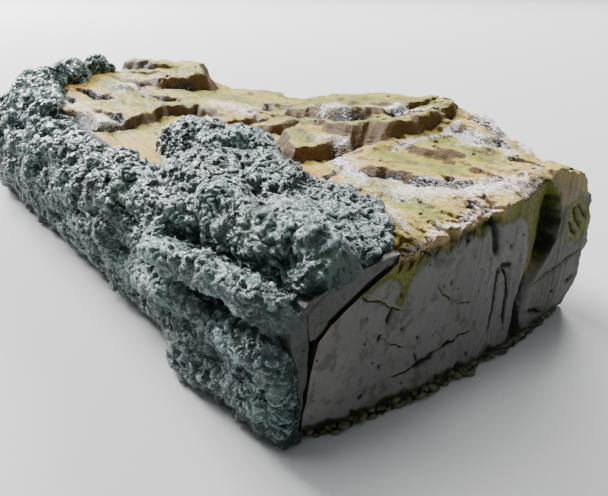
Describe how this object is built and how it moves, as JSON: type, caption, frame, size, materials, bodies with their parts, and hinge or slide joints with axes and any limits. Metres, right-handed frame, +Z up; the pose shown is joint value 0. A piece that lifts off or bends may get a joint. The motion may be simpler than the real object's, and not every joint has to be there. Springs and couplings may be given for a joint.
{
  "type": "mossy log",
  "caption": "Short split log lying on its flat underside, sawn square at one end, with terraced bare wood on top and thick moss over its bark on the front side and far end.",
  "frame": {"origin": "middle of the footprint, on the surface the log lies on", "axes": "+X along the log towards its sawn end, +Y towards the back of the log away from the mossy side, +Z up"},
  "size_m": [0.316, 0.1436, 0.0707],
  "materials": {
    "weathered_wood": "tan and olive weathered grain under a wet gloss, dark grey on the sawn end",
    "cut_bark": "dark grey cut bark with green edges, glossy",
    "rough_bark": "dark green-grey rough bark, glossy",
    "base_crumb": "near-black green crumbly bark with olive crumbs, glossy",
    "moss": "dark blue-green matted moss with pale mint tips and black pits under a wet gloss"
  },
  "bodies": {
    "root": {"wood": "weathered_wood", "inner_bark": "cut_bark", "outer_bark": "rough_bark", "base_bark": "base_crumb", "moss_mat": "moss"}
  },
  "joints": []
}
